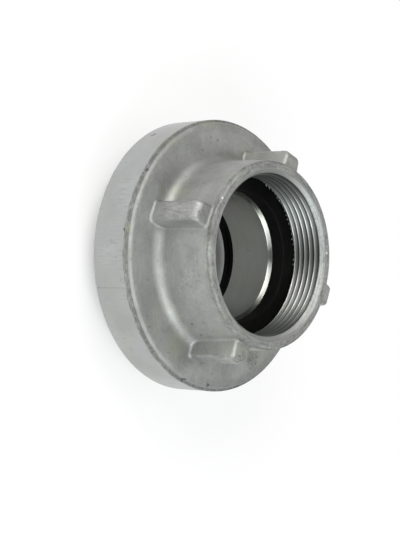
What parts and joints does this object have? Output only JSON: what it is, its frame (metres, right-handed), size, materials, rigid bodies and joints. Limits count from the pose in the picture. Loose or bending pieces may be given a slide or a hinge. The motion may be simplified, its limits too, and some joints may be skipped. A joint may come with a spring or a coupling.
{
  "type": "quarter turn fire hose coupling",
  "caption": "Cast aluminium fire hose coupling with outward hooked lugs on a ring, spanner ribs on the neck, a female pipe thread and rubber sealing rings",
  "frame": {"origin": "on the coupling axis, in the plane of the tips of the two locking lugs, which is the lowest plane of the part", "axes": "+Z along the axis, from the lugs to the threaded mouth; +X through the middle of one lug; +Y completes the right-handed frame"},
  "size_m": [0.098, 0.098, 0.0527],
  "materials": {
    "cast_aluminium": "die cast and turned, satin",
    "seal_rubber": "smooth black moulded rubber"
  },
  "bodies": {
    "root": {"coupling_body": "cast_aluminium", "face_seal": "seal_rubber", "thread_gasket": "seal_rubber"}
  },
  "joints": []
}
